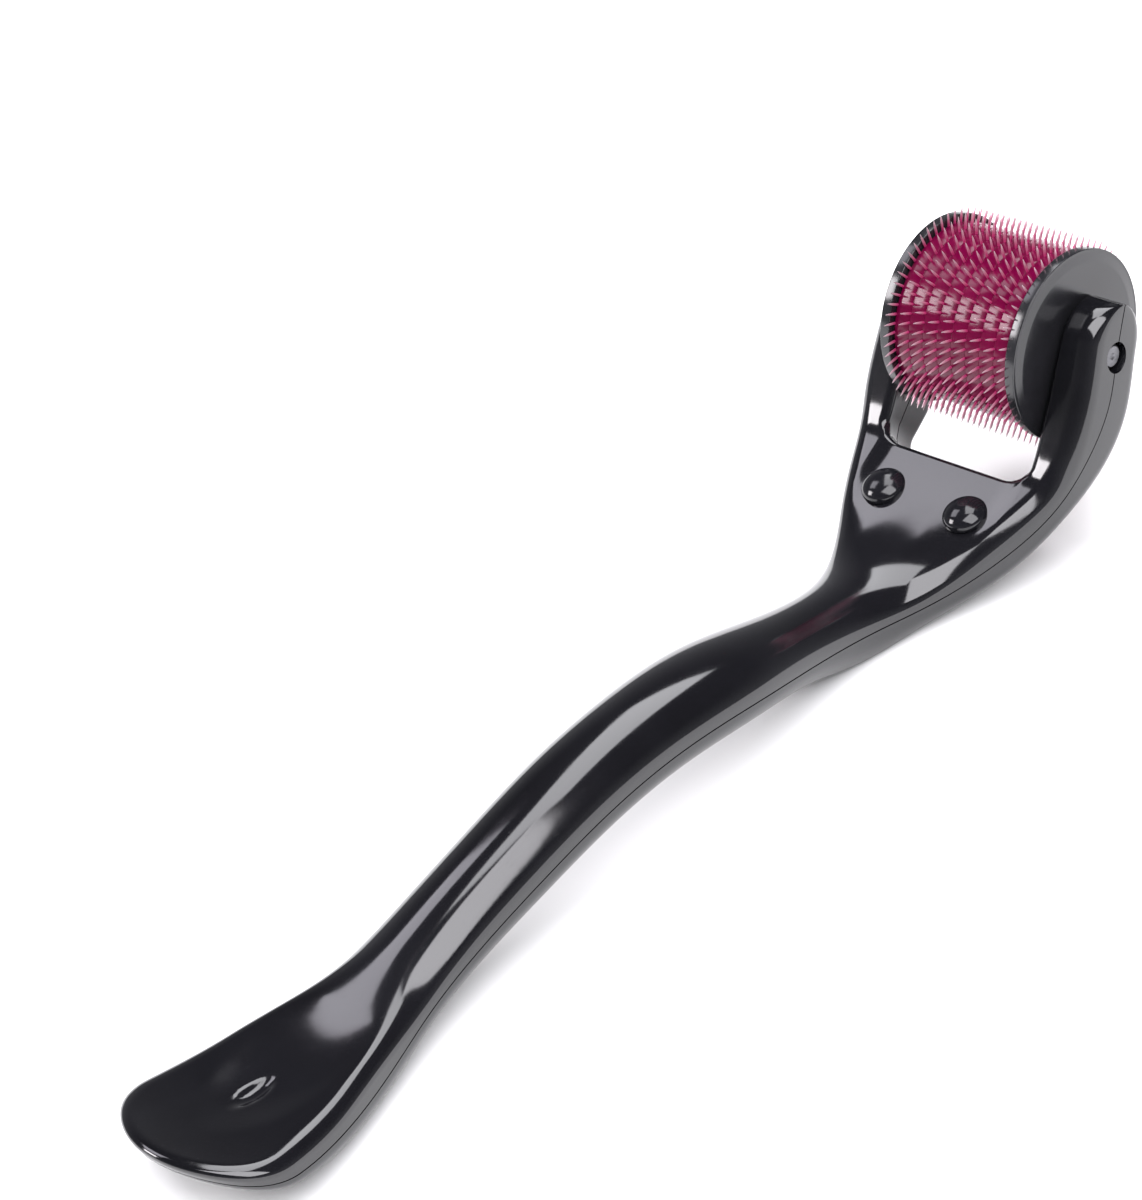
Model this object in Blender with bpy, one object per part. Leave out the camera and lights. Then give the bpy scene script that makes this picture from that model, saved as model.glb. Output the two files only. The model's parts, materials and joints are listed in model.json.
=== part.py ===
"""Derma roller: an S-curved two-shell handle with a fork, and a needle roller that spins on its axle.

Axes: +X runs along the handle towards the roller, +Y along the axle, +Z up from the surface it rests on.
The tables below are in millimetres, measured from the roller's axis.
"""
import bmesh
import bpy
import numpy as np

mm = 0.001
axleX = 56.53           # the roller's axis in the part's frame
axleZ = 20.4
gap = 0.3               # clearance between neighbouring pieces

# fork
forkHalfWidth = 14.4    # middle plane to an arm's outer face
forkInside = 9.35       # middle plane to an arm's inner face
windowCorner = 2.6      # radius of the window's two corners
plateDish = 0.2         # how far the crossbar's top lies below the arms' edges
armTipRadius = 4.1
armReach = 5.3          # arm beyond the axle

# roller
ringCount = 9
ringPitch = 1.84
discTeeth = 60
discThickness = 0.2
needleRadius = 11.0     # circle through the needle tips
toothRoot = 9.0
drumRadius = 9.3        # outside of the coloured spacer rings
ringBore = 6.9
coreRadius = 6.6
coreHollow = 5.3        # inside of the core between its two hubs
hubLength = 2.6
capRadius = 10.0
capRim = 8.68           # middle plane to the end cap's outer edge
capDome = 0.3
axleRadius = 1.3
axleHalfLength = 13.7
boreRadius = 1.6

# press pins
pinOffset = 5.4         # pin centres on either side of the middle plane
pinForward = 1.3        # pins, ahead of the fourteenth station
pinHeadRadius = 2.35
pinHeadHeight = 1.1
pinShankRadius = 1.2
pinDepth = 1.2          # shank below the seam

# shells
wall = 2.2
hollowFront = 4.6       # thumb rest, ahead of and behind its deepest place
hollowBack = 9.8
tipRound = 8.5          # length over which the handle's end narrows to its tip
soleLevel = -axleZ      # the surface it rests on

# Side profile from the tip of the handle to the tips of the arms. Each row holds a point of the seam between
# the shells, the top point and the bottom point that belong to it, and the half width there.
stations = [
    # seam x, z      top x, z        bottom x, z     half width
    (-123.9, -13.0,  -124.5, -11.5,  -123.3, -14.7,  9.0),
    (-120.6, -14.6,  -121.3, -12.6,  -120.0, -17.0,  10.0),
    (-115.7, -16.1,  -116.3, -13.8,  -115.2, -19.2,  10.0),
    (-109.8, -16.9,  -110.0, -14.5,  -109.6, -20.7,  9.0),
    (-102.3, -16.9,  -102.4, -13.9,  -102.2, -20.7,  7.1),
    (-95.2, -15.8,   -95.6, -12.6,   -95.0, -19.4,   5.6),
    (-88.2, -14.4,   -88.8, -10.9,   -87.8, -18.0,   5.1),
    (-79.2, -12.8,   -79.8, -9.0,    -78.8, -16.7,   5.1),
    (-69.2, -11.4,   -69.6, -7.4,    -68.8, -15.4,   5.3),
    (-59.2, -11.2,   -59.2, -7.2,    -59.2, -15.2,   5.6),
    (-48.2, -12.6,   -47.6, -8.8,    -49.0, -16.4,   5.8),
    (-38.7, -15.0,   -37.7, -11.7,   -39.9, -18.7,   4.8),
    (-30.7, -16.6,   -30.2, -13.4,   -31.6, -21.6,   5.0),
    (-23.7, -16.7,   -24.2, -13.6,   -23.0, -21.3,   7.2),
    (-17.2, -14.7,   -17.8, -11.8,   -16.1, -18.2,   10.5),
    (-10.9, -11.5,   -11.7, -9.2,    -9.2, -14.4,    13.1),
    (-6.6, -8.0,     -9.1, -6.4,     -3.6, -11.2,    14.1),
    (-2.4, -3.8,     -5.9, -1.6,     1.2, -6.7,      14.2),
    (0.0, 0.0,       -3.6, 2.2,      3.8, -2.4,      13.8),
    (3.2, 5.1,       -0.3, 7.3,      7.0, 2.6,       13.4),
]
neckRow, shoulderRow, pinRow, frontRow, axleRow = 12, 13, 14, 15, 18


def softStep(x, low, high):
    """Rises smoothly from 0 at low to 1 at high."""
    t = np.clip((x - low) / (high - low), 0, 1)
    return t * t * (3 - 2 * t)


def naturalSpline(knots, values, at):
    """Natural cubic spline through the rows of values at knots, read at the places in at."""
    h = np.diff(knots)
    n = len(knots)
    system = np.eye(n)
    right = np.zeros((n, values.shape[1]))
    for i in range(1, n - 1):
        system[i, i - 1:i + 2] = h[i - 1], 2 * (h[i - 1] + h[i]), h[i]
        right[i] = 6 * ((values[i + 1] - values[i]) / h[i] - (values[i] - values[i - 1]) / h[i - 1])
    bend = np.linalg.solve(system, right)
    k = np.clip(np.searchsorted(knots, at, side="right") - 1, 0, n - 2)
    a = (knots[k + 1] - at)[..., None]
    b = (at - knots[k])[..., None]
    w = h[k][..., None]
    cubic = (bend[k] * a ** 3 + bend[k + 1] * b ** 3) / (6 * w)
    return cubic + (values[k] / w - bend[k] * w / 6) * a + (values[k + 1] / w - bend[k + 1] * w / 6) * b


table = np.array(stations)
knots = np.concatenate([[0], np.cumsum(np.hypot(*np.diff(table[:, :2], axis=0).T))])
plateFront = knots[frontRow]
axlePlace = knots[axleRow]
armEnd = axlePlace + armReach


def profileAt(s):
    """Seam point, top point, bottom point and half width at length s along the seam."""
    p = naturalSpline(knots, table, np.asarray(s, float))
    q = np.clip(s / tipRound, 0, 1)
    width = np.minimum(p[..., 6], forkHalfWidth) * np.sqrt(np.clip(1 - (1 - q) ** 2, 0, 1))
    return p[..., 0:2], p[..., 2:4], p[..., 4:6], width


def fillet(x, power=2.2):
    """Height of a rounded edge: 0 at the edge, 1 at x = 1 and beyond."""
    x = np.clip(x, 0, 1)
    return (1 - (1 - x) ** power) ** (1 / power)


def windowDistance(s, y):
    """Distance to the window between the arms, whose two corners are round."""
    a = plateFront + windowCorner - s
    b = np.abs(y) - (forkInside - windowCorner)
    outside = np.hypot(np.maximum(a, 0), np.maximum(b, 0))
    return outside + np.minimum(np.maximum(a, b), 0) - windowCorner


def outlineDistance(s, y):
    """Distance to the handle's outline, from the half width and its slope."""
    step = 0.05
    width = profileAt(s)[3]
    slope = (profileAt(s + step)[3] - profileAt(np.maximum(s - step, 0))[3]) / (2 * step)
    return (width ** 2 - y ** 2) / (2 * np.sqrt(y ** 2 + (width * slope) ** 2) + 1e-6)


def thumbHollow(s, y):
    """Depth of the teardrop thumb rest in the underside, which is widest near the crossbar."""
    along = s - (knots[pinRow] - 2.5)
    long = along / np.where(along > 0, hollowFront, hollowBack)
    across = y / (6.4 * (1 - 0.42 * softStep(-long, 0, 1)))
    return 0.9 * softStep(1 - (long ** 2 + across ** 2), 0, 0.55)


def guardLip(s, y):
    """Height of the crescent thumb guard beside the window, on the underside."""
    line = plateFront - 1.7 - 0.025 * y ** 2
    return 1.2 * np.exp(-((s - line) / 0.8) ** 2) * (1 - softStep(np.abs(y), 5.8, 8.6))


def endDimple(s, y):
    """Depth of the shallow hollow in the top of the paddle."""
    return 0.7 * softStep(1 - ((s - 19) / 13) ** 2 - (y / 6.6) ** 2, 0, 1)


def shellPoint(side, s, y, level):
    """A point of the back shell (side 1) or front shell (side -1): level 0 on the seam, 1 on the outside."""
    seam, top, bottom, width = profileAt(s)
    outer = top if side > 0 else bottom
    reach = np.hypot(*np.moveaxis(outer - seam, -1, 0))
    x = seam[..., 0]
    paddle = 1 - softStep(x, -108, -94)
    fork = softStep(x, -30, -14)
    plain = (1 - paddle) * (1 - fork)
    if side > 0:
        across = 1.5 * width * plain + 2.2 * paddle + 2.2 * fork
        drop = 0.85 * reach * plain + 1.5 * paddle + 2 * fork
        middle = (1 - softStep(np.abs(y), 7.2, 9.6)) * (1 - softStep(s, plateFront, plateFront + 4))
        carve = endDimple(s, y) + plateDish * softStep(x, -24, -12) * middle
    else:
        across = 1.5 * width * plain + 8.5 * paddle + 2.2 * fork
        drop = 0.85 * reach * plain + 0.9 * reach * paddle + 2 * fork
        carve = thumbHollow(s, y) - guardLip(s, y)
    height = reach - np.minimum(drop, 0.9 * reach) * (1 - fillet(outlineDistance(s, y) / across))
    height = height - fork * (1 - fillet(windowDistance(s, y)))
    over = np.clip((s - (armEnd - armTipRadius)) / armTipRadius, 0, 0.985)
    height = height * np.sqrt(1 - over ** 2)
    bore = np.sqrt(np.clip(boreRadius ** 2 - (s - axlePlace) ** 2, 0, None))
    floor = np.maximum(bore, gap / 2)
    thick = np.maximum(height - floor, 0.1)
    outward = (outer - seam) / reach[..., None]
    spot = seam + outward * (floor + thick * level)[..., None]
    spot[..., 1] = np.maximum(spot[..., 1], soleLevel)
    spot = spot - outward * (np.minimum(carve, thick - 0.1) * level)[..., None]
    return np.stack([spot[..., 0], y, spot[..., 1]], -1)


def shellGrid(handleRows=34, armColumns=5, plateColumns=6):
    """Lengths s and offsets y of a grid over the shell's outline; its last rows cover only the arms."""
    t = np.linspace(0, 1, handleRows)
    base = 0.1 + (plateFront - 0.1) * (0.12 * t + 0.88 * t ** 1.25)
    beforeBore = np.linspace(plateFront + windowCorner, axlePlace - boreRadius, 6)[1:-1]
    aroundBore = axlePlace - boreRadius * np.cos(np.linspace(0, np.pi, 7))
    tipTurn = np.linspace(0, 0.5 * np.pi, 5)[1:]
    beyondBore = axlePlace + boreRadius + (armReach - boreRadius) * np.sin(tipTurn)
    armRows = np.concatenate([beforeBore, aroundBore, beyondBore])

    u = np.linspace(0, 1, armColumns)
    forkShare = 0.5 - 0.5 * np.cos(np.pi * u)
    inner = 0.6
    plainShare = inner + (1 - inner) * np.sin(0.5 * np.pi * u)
    across = np.linspace(-1, 1, plateColumns + 1)[1:-1]

    def offsets(s):
        """Offsets y of every column, from the right edge to the left, at the lengths s (one per column)."""
        width = profileAt(s)[3]
        blend = softStep(s, knots[neckRow], plateFront - 3)
        arm = (1 - blend) * width * plainRow + blend * (forkInside + (width - forkInside) * forkRow)
        plate = ((1 - blend) * inner * width + blend * forkInside) * plateRow
        return np.where(isArm, signRow * arm, plate)

    isArm = np.array([True] * armColumns + [False] * len(across) + [True] * armColumns)
    signRow = np.array([-1.0] * armColumns + [0.0] * len(across) + [1.0] * armColumns)
    filler = np.zeros(len(across))
    plainRow = np.concatenate([plainShare[::-1], filler, plainShare])
    forkRow = np.concatenate([forkShare[::-1], filler, forkShare])
    plateRow = np.concatenate([np.zeros(armColumns), across, np.zeros(armColumns)])

    rows = []
    for length in base:
        s = np.full(len(isArm), length)
        y = offsets(s)
        beyond = np.clip(np.abs(y) - (forkInside - windowCorner), 0, windowCorner)
        curve = windowCorner - np.sqrt(windowCorner ** 2 - beyond ** 2)
        s = s + softStep(length, plateFront - 9, plateFront) * np.where(isArm, windowCorner, curve)
        rows.append((s, offsets(s)))
    for length in armRows:
        s = np.full(len(isArm), length)
        rows.append((s, offsets(s)))
    return np.array([r[0] for r in rows]), np.array([r[1] for r in rows]), isArm, handleRows


def addMesh(name, points, faces, material):
    """A mesh object from points in millimetres and faces, with its normals facing out."""
    mesh = bpy.data.meshes.new(name)
    mesh.from_pydata([tuple(p) for p in np.asarray(points) * mm], [], faces)
    build = bmesh.new()
    build.from_mesh(mesh)
    bmesh.ops.recalc_face_normals(build, faces=build.faces)
    build.to_mesh(mesh)
    build.free()
    thing = bpy.data.objects.new(name, mesh)
    bpy.context.scene.collection.objects.link(thing)
    if material:
        mesh.materials.append(material)
        mesh.shade_smooth()
        mesh.set_sharp_from_angle(angle=np.radians(35))
    return thing


def shellSolid(name, side, material):
    """One shell as a solid: outside, seam side, and a wall around the whole outline."""
    s, y, isArm, handleRows = shellGrid()
    outside = shellPoint(side, s, y, np.ones_like(s))
    inside = shellPoint(side, s, y, np.zeros_like(s))
    rowCount, columnCount = s.shape
    number = -np.ones((rowCount, columnCount), int)
    used = np.ones((rowCount, columnCount), bool)
    used[handleRows:, ~isArm] = False
    number[used] = np.arange(used.sum())
    total = used.sum()
    faces = []
    edges = {}
    for i in range(rowCount - 1):
        for j in range(columnCount - 1):
            if not (used[i + 1, j] and used[i + 1, j + 1] and used[i, j] and used[i, j + 1]):
                continue
            if i >= handleRows - 1 and not (isArm[j] and isArm[j + 1]):
                continue
            quad = [number[i, j], number[i, j + 1], number[i + 1, j + 1], number[i + 1, j]]
            faces.append([int(k) for k in quad])
            faces.append([int(k) + total for k in reversed(quad)])
            for k in range(4):
                edge = (int(quad[k]), int(quad[(k + 1) % 4]))
                if (edge[1], edge[0]) in edges:
                    del edges[(edge[1], edge[0])]
                else:
                    edges[edge] = True
    for a, b in edges:
        faces.append([b, a, a + total, b + total])
    points = np.concatenate([outside[used], inside[used]])
    return addMesh(name, points, faces, material)


def cavityCutter(side):
    """The hollow inside one shell of the handle, open at the seam, as a cutter."""
    first, last, rowCount, columnCount = 9.0, knots[shoulderRow] + 1.0, 26, 9
    s = np.linspace(first, last, rowCount)
    seam, top, bottom, width = profileAt(s)
    outer = top if side > 0 else bottom
    reach = np.hypot(*(outer - seam).T)
    rounding = np.sqrt(np.clip(1 - ((s - (first + last) / 2) / ((last - first) / 2 + 0.4)) ** 16, 0, 1))
    high = np.maximum(reach - wall - 0.35, 0.5) * rounding
    half = (width - wall) * (0.4 + 0.6 * rounding)
    v = np.linspace(-1, 1, columnCount)
    arch = np.sqrt(np.clip(1 - v ** 2, 0, 1))
    level = high[:, None] * arch[None] / reach[:, None]
    roof = seam[:, None] + (outer - seam)[:, None] * level[..., None]
    low = seam - (outer - seam) / reach[:, None] * 0.6
    rows = []
    for i in range(rowCount):
        for j in range(columnCount):
            rows.append((roof[i, j, 0], half[i] * v[j], roof[i, j, 1]))
        rows.append((low[i, 0], half[i], low[i, 1]))
        rows.append((low[i, 0], -half[i], low[i, 1]))
    ring = columnCount + 2
    faces = []
    for i in range(rowCount - 1):
        for j in range(ring):
            a, b = i * ring + j, i * ring + (j + 1) % ring
            faces.append([a, b, b + ring, a + ring])
    faces.append(list(range(ring)))
    faces.append([(rowCount - 1) * ring + j for j in reversed(range(ring))])
    return guide(addMesh("cavity_cutter", rows, faces, None))


def guide(thing):
    """Marks a cutter, so that it isn't part of the object."""
    thing.hide_render = True
    thing.display_type = "WIRE"
    return thing


def cut(thing, cutter):
    """Cuts the cutter's shape out of a piece."""
    modifier = thing.modifiers.new("cut", "BOOLEAN")
    modifier.operation = "DIFFERENCE"
    modifier.solver = "EXACT"
    modifier.object = cutter


def turned(name, profile, material, segments=48, place=(0, 0, 0), tilt=None):
    """A closed profile of (radius, along) points, turned about its axis and laid along Y or along tilt."""
    angles = np.linspace(0, 2 * np.pi, segments, endpoint=False)
    points = []
    if tilt is None:
        first, second, along = np.array([1, 0, 0]), np.array([0, 0, 1]), np.array([0, 1, 0])
    else:
        along = np.array(tilt) / np.linalg.norm(tilt)
        first = np.array([0, 1, 0])
        second = np.cross(along, first)
    loops = []
    for radius, height in profile:
        base = np.array(place) + along * height
        if radius == 0:
            loops.append([len(points)])
            points.append(base)
            continue
        loops.append(list(range(len(points), len(points) + segments)))
        for angle in angles:
            points.append(base + radius * (np.cos(angle) * first + np.sin(angle) * second))
    faces = []
    pairs = list(zip(loops, loops[1:]))
    if len(loops[0]) > 1 and len(loops[-1]) > 1:
        pairs.append((loops[-1], loops[0]))
    for one, two in pairs:
        for k in range(segments):
            n = (k + 1) % segments
            if len(one) == 1:
                faces.append([one[0], two[n], two[k]])
            elif len(two) == 1:
                faces.append([one[k], one[n], two[0]])
            else:
                faces.append([one[k], one[n], two[n], two[k]])
    return addMesh(name, points, faces, material)


def spacerRing(index, material):
    """Coloured ring between two needle discs, with its outer corners taken off."""
    middle = (index - (ringCount - 2) / 2) * ringPitch
    half = (ringPitch - discThickness) / 2 - gap * 0.8
    corner = 0.2
    profile = [(ringBore, -half), (drumRadius - corner, -half), (drumRadius, corner - half),
               (drumRadius, half - corner), (drumRadius - corner, half), (ringBore, half)]
    return turned(f"spacer_ring_{index + 1}", profile, material, 40, (0, middle, 0))


def needleDisc(index, material):
    """Steel ring with its needles around the rim; every other disc is turned by half a tooth."""
    middle = (index - (ringCount - 1) / 2) * ringPitch
    turn = 0.5 * (index % 2)
    points = []
    boreCount = 30
    for side in (-1, 1):
        y = middle + side * discThickness / 2
        for k in range(discTeeth):
            for share, radius in ((0.0, toothRoot), (0.5, needleRadius)):
                angle = 2 * np.pi * (k + share + turn) / discTeeth
                points.append((radius * np.cos(angle), y, radius * np.sin(angle)))
        for k in range(boreCount):
            angle = 2 * np.pi * (k + turn * boreCount / discTeeth) / boreCount
            points.append((ringBore * np.cos(angle), y, ringBore * np.sin(angle)))
    rim = 2 * discTeeth
    layer = rim + boreCount
    per = rim // boreCount
    faces = []
    for k in range(boreCount):
        n = (k + 1) % boreCount
        outer = [(k * per + i) % rim for i in range(per + 1)]
        for a, b, c in [(rim + k, outer[0], outer[1]), (rim + k, outer[1], outer[2]),
                        (rim + k, outer[2], rim + n), (rim + n, outer[2], outer[3]),
                        (rim + n, outer[3], outer[4])]:
            faces.append([a, b, c])
            faces.append([c + layer, b + layer, a + layer])
    for k in range(rim):
        n = (k + 1) % rim
        faces.append([k, n, n + layer, k + layer])
    for k in range(boreCount):
        n = (k + 1) % boreCount
        faces.append([rim + n, rim + k, rim + k + layer, rim + n + layer])
    return addMesh(f"needle_disc_{index + 1}", points, faces, material)


def endCap(side, material):
    """Domed black disc that closes one end of the roller."""
    start = (ringCount - 1) / 2 * ringPitch + discThickness / 2 + gap * 0.8
    hub = capRim + capDome
    profile = [(boreRadius, start), (capRadius, start), (capRadius, capRim - 0.15),
               (capRadius - 0.15, capRim), (capRadius - 1.3, capRim + 0.15),
               (capRadius * 0.55, hub - 0.03), (boreRadius, hub)]
    if side < 0:
        profile = [(radius, -along) for radius, along in profile]
    return turned(("right" if side < 0 else "left") + "_end_cap", profile, material, 56)


def drumCore(material):
    """Sleeve with a hub at each end, which turns on the axle and carries the discs, rings and caps."""
    half = (ringCount - 1) / 2 * ringPitch + discThickness / 2 - 0.06
    hub = half - hubLength
    return turned("drum_core", [(boreRadius, -half), (coreRadius, -half), (coreRadius, half),
                                (boreRadius, half), (boreRadius, hub), (coreHollow, hub),
                                (coreHollow, -hub), (boreRadius, -hub)], material, 36)


def axleRod(material):
    """Steel axle with small chamfers, held in the seam between the shells."""
    end, chamfer = axleHalfLength, 0.25
    profile = [(0, -end), (axleRadius - chamfer, -end), (axleRadius, chamfer - end),
               (axleRadius, end - chamfer), (axleRadius - chamfer, end), (0, end)]
    return turned("axle", profile, material, 28)


def pinFrame(side):
    """A press pin's place on the seam and its direction, which is square to the crossbar's top."""
    seam, top, bottom, width = profileAt(knots[pinRow] + pinForward)
    along = np.array([top[0] - seam[0], 0, top[1] - seam[1]])
    return np.array([seam[0], side * pinOffset, seam[1]]), along, np.linalg.norm(along)


def pressPin(side, material):
    """Pin with a domed head on the crossbar, pushed through the back shell into the front shell."""
    place, along, reach = pinFrame(side)
    base = reach + gap
    profile = [(0, -pinDepth), (pinShankRadius - 0.2, -pinDepth), (pinShankRadius, 0.2 - pinDepth),
               (pinShankRadius, base)]
    for angle in np.radians([0, 22, 45, 68, 90]):
        profile.append((pinHeadRadius * np.cos(angle), base + 0.2 + (pinHeadHeight - 0.2) * np.sin(angle)))
    profile.insert(4, (pinHeadRadius, base))
    profile[-1] = (0, base + pinHeadHeight)
    return turned(("left" if side > 0 else "right") + "_press_pin", profile, material, 24, place, along)


def pinHoleCutter(side):
    """Hole for a press pin, through the back shell and part of the way into the front shell."""
    place, along, reach = pinFrame(side)
    radius, low, high = pinShankRadius + gap, -pinDepth - gap, reach + 2
    profile = [(0, low), (radius, low), (radius, high), (0, high)]
    return guide(turned("pin_hole_cutter", profile, None, 24, place, along))


def finish(name, color, roughness, metallic):
    """A plain Principled material."""
    material = bpy.data.materials.new(name)
    material.use_nodes = True
    shader = material.node_tree.nodes["Principled BSDF"]
    shader.inputs["Base Color"].default_value = (*color, 1)
    shader.inputs["Roughness"].default_value = roughness
    shader.inputs["Metallic"].default_value = metallic
    return material


def body(name, place):
    """Empty that carries the pieces of one moving body."""
    empty = bpy.data.objects.new(name, None)
    empty.location = place
    bpy.context.scene.collection.objects.link(empty)
    return empty


def build():
    for thing in list(bpy.data.objects):
        bpy.data.objects.remove(thing)
    black = finish("handle_black", (0.006, 0.006, 0.008), 0.12, 0)
    capBlack = finish("cap_black", (0.012, 0.012, 0.014), 0.2, 0)
    magenta = finish("ring_magenta", (0.3, 0.002, 0.07), 0.2, 0)
    needleSteel = finish("needle_steel", (0.62, 0.6, 0.6), 0.25, 1)
    axleSteel = finish("axle_steel", (0.5, 0.5, 0.52), 0.3, 1)
    corePlastic = finish("core_plastic", (0.3, 0.002, 0.07), 0.4, 0)
    pinBlack = finish("pin_black", (0.008, 0.008, 0.01), 0.12, 0)

    axis = (axleX * mm, 0, axleZ * mm)
    handle = body("handle_body", axis)
    roller = body("roller_body", axis)

    backShell = shellSolid("back_shell", 1, black)
    frontShell = shellSolid("front_shell", -1, black)
    cutters = [pinHoleCutter(1), pinHoleCutter(-1)]
    for shell, side in ((backShell, 1), (frontShell, -1)):
        cavity = cavityCutter(side)
        cut(shell, cavity)
        for cutter in cutters:
            cut(shell, cutter)
        cavity.parent = handle
    for cutter in cutters:
        cutter.parent = handle
    fixed = [backShell, frontShell, axleRod(axleSteel), pressPin(1, pinBlack), pressPin(-1, pinBlack)]
    spinning = [drumCore(corePlastic), endCap(1, capBlack), endCap(-1, capBlack)]
    spinning += [spacerRing(i, magenta) for i in range(ringCount - 1)]
    spinning += [needleDisc(i, needleSteel) for i in range(ringCount)]
    for pieces, parent in ((fixed, handle), (spinning, roller)):
        for piece in pieces:
            piece.parent = parent


build()
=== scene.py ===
# Derma roller: a glossy black S-curved handle with a fork, and a magenta needle roller on a steel axle.
# Shapes are worked out in millimetres, measured from the roller's axis, and placed by the frame's own joint.
import json
import math

import bmesh
import bpy
import numpy as np
from mathutils import Matrix, Vector


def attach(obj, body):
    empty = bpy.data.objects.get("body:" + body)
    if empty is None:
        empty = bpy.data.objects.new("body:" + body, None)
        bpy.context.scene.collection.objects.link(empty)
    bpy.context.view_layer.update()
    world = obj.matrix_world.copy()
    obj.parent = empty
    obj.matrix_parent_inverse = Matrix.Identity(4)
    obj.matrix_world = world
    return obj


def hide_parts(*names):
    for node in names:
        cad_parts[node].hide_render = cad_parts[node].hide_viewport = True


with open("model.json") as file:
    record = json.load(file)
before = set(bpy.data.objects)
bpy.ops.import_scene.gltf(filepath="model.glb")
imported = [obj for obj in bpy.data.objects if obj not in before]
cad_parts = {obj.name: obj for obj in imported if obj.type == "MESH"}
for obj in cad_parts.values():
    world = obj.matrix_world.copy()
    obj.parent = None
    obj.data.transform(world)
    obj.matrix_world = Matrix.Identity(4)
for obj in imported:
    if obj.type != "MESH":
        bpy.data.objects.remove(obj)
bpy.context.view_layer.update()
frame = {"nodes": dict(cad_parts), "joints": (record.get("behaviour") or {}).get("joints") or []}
spinJoint = next(joint for joint in frame["joints"] if joint["name"] == "roller_spin")
axisPoint = np.array(spinJoint["pos_m"])
mm = 0.001
print("frame loaded, roller axis at", axisPoint)


def gridQuads(rows, columns, closedColumns=False, closedRows=False, start=0):
    # Quads between neighbours of a rows by columns grid of points, numbered row by row from start.
    i = np.arange(rows if closedRows else rows - 1)
    j = np.arange(columns if closedColumns else columns - 1)
    i, j = np.meshgrid(i, j, indexing="ij")
    a = i * columns + j
    b = i * columns + (j + 1) % columns
    c = (i + 1) % rows * columns + (j + 1) % columns
    d = (i + 1) % rows * columns + j
    return start + np.stack([a, b, c, d], -1).reshape(-1, 4)


def addPiece(name, points, faces, material, body, replaced=(), sharpAngle=38, merge=False):
    # Mesh object from points in millimetres around the roller's axis and an array of faces. It rides on body.
    mesh = bpy.data.meshes.new(name)
    mesh.from_pydata((points * mm + axisPoint).tolist(), [], faces.tolist())
    if merge:
        build = bmesh.new()
        build.from_mesh(mesh)
        bmesh.ops.remove_doubles(build, verts=build.verts, dist=2e-7)
        bmesh.ops.recalc_face_normals(build, faces=build.faces)
        build.to_mesh(mesh)
        build.free()
    mesh.materials.append(material)
    mesh.shade_smooth()
    mesh.set_sharp_from_angle(angle=math.radians(sharpAngle))
    piece = bpy.data.objects.new(name, mesh)
    bpy.context.scene.collection.objects.link(piece)
    if replaced:
        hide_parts(*replaced)
    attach(piece, body)
    return piece


def turnedPoints(profile, segments, closedProfile=True):
    # Revolution about the Y axis: the profile's radius times cosine and sine of the turn, its height along Y.
    profile = np.asarray(profile, float)
    turn = np.linspace(0, 2 * np.pi, segments, endpoint=False)[:, None]
    radius, along = profile[None, :, 0], profile[None, :, 1]
    points = np.stack([radius * np.cos(turn), along + 0 * turn, radius * np.sin(turn)], -1)
    return points.reshape(-1, 3), gridQuads(segments, len(profile), closedProfile, True)


def roundedProfile(corners, radii, steps=6):
    # Polygon with rounded corners: each corner becomes a quadratic curve that leaves its sides at its radius.
    corners = np.asarray(corners, float)
    before = np.roll(corners, 1, 0) - corners
    after = np.roll(corners, -1, 0) - corners
    before /= np.linalg.norm(before, axis=1, keepdims=True)
    after /= np.linalg.norm(after, axis=1, keepdims=True)
    radii = np.asarray(radii, float)[:, None]
    t = np.linspace(0, 1, steps)[None, :, None]
    first = (corners + before * radii)[:, None]
    last = (corners + after * radii)[:, None]
    curve = (1 - t) ** 2 * first + 2 * t * (1 - t) * corners[:, None] + t ** 2 * last
    return curve.reshape(-1, 2)


def softStep(x, low, high):
    # Rises smoothly from 0 at low to 1 at high.
    t = np.clip((x - low) / (high - low), 0, 1)
    return t * t * (3 - 2 * t)


def addNode(tree, kind, place, **values):
    # Shader node with its settings and input values.
    node = tree.nodes.new(kind)
    node.location = place
    for key, value in values.items():
        socket = node.inputs.get(key.replace("_", " "))
        if socket is not None:
            socket.default_value = value
        else:
            setattr(node, key, value)
    return node


def newGroup(name, inputs, outputs):
    # Shader node group: numbers become float sockets, tuples colour sockets and None a vector socket.
    kinds = {tuple: "NodeSocketColor", float: "NodeSocketFloat", type(None): "NodeSocketVector"}
    tree = bpy.data.node_groups.new(name, "ShaderNodeTree")
    for label, value in inputs.items():
        kind = kinds[type(value)]
        socket = tree.interface.new_socket(label, in_out="INPUT", socket_type=kind)
        if value is not None:
            socket.default_value = value
    for label, kind in outputs.items():
        tree.interface.new_socket(label, in_out="OUTPUT", socket_type=kind)
    return tree, addNode(tree, "NodeGroupInput", (-900, 0)), addNode(tree, "NodeGroupOutput", (900, 0))


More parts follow.
